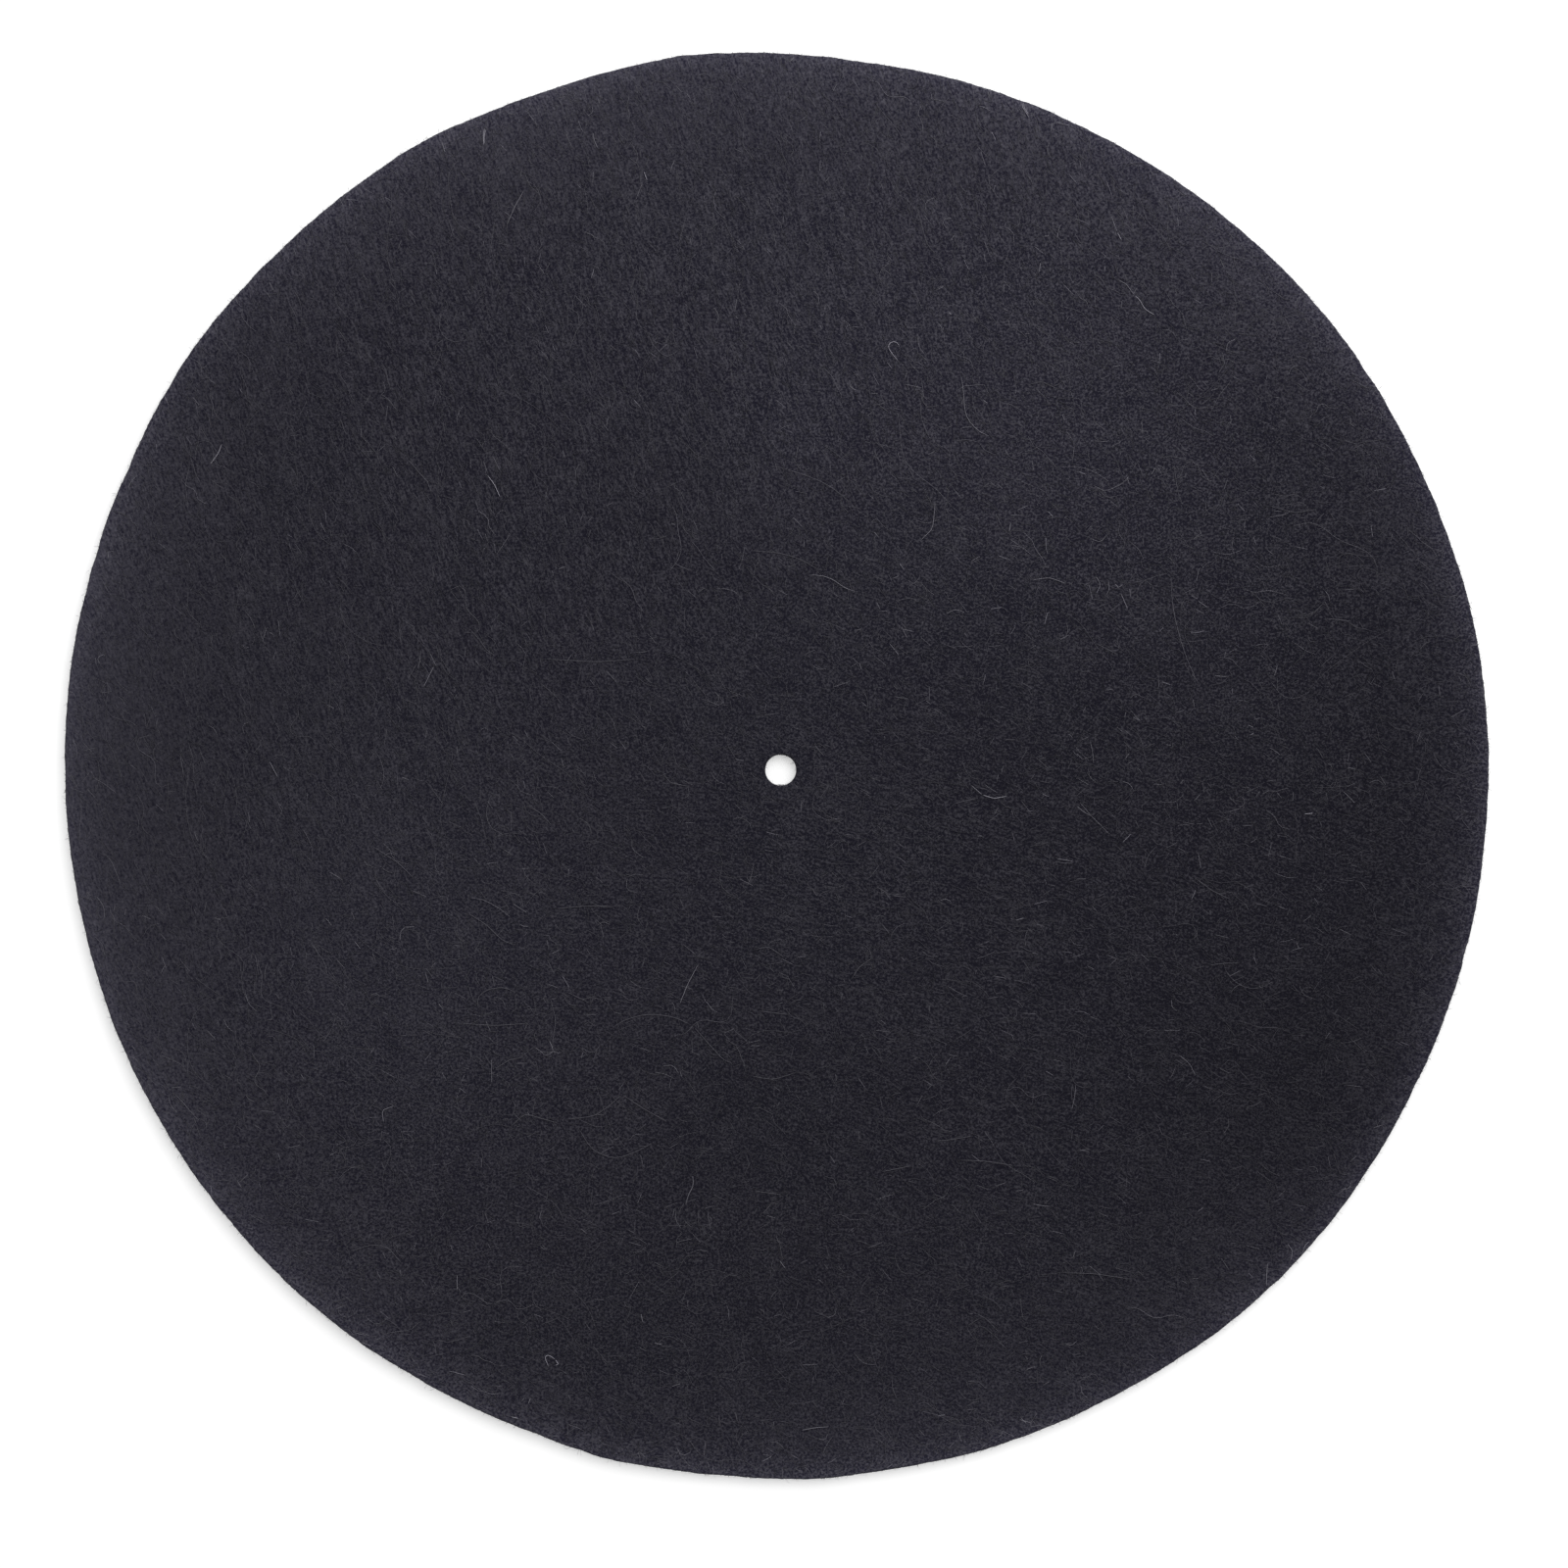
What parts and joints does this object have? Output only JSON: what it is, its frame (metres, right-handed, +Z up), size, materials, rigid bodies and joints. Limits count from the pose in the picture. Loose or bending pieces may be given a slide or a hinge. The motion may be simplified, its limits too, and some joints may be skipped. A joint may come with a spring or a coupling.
{
  "type": "turntable platter mat",
  "caption": "Thin round charcoal felt mat with a small punched centre hole, laid on a record player's platter to carry the record.",
  "frame": {"origin": "middle of the spindle hole, on the underside that lies on the platter", "axes": "+Z up through the spindle hole, out of the face that the record lies on; +Y to the top and +X to the right of the disc as the picture shows it"},
  "size_m": [0.2999, 0.3, 0.0025],
  "materials": {
    "felt": "matte needled felt, near black with a faint blue cast, its nap swept one way at the left and another at the right, with paler loose fibres lying on it"
  },
  "bodies": {
    "root": {"felt_mat": "felt"}
  },
  "joints": []
}
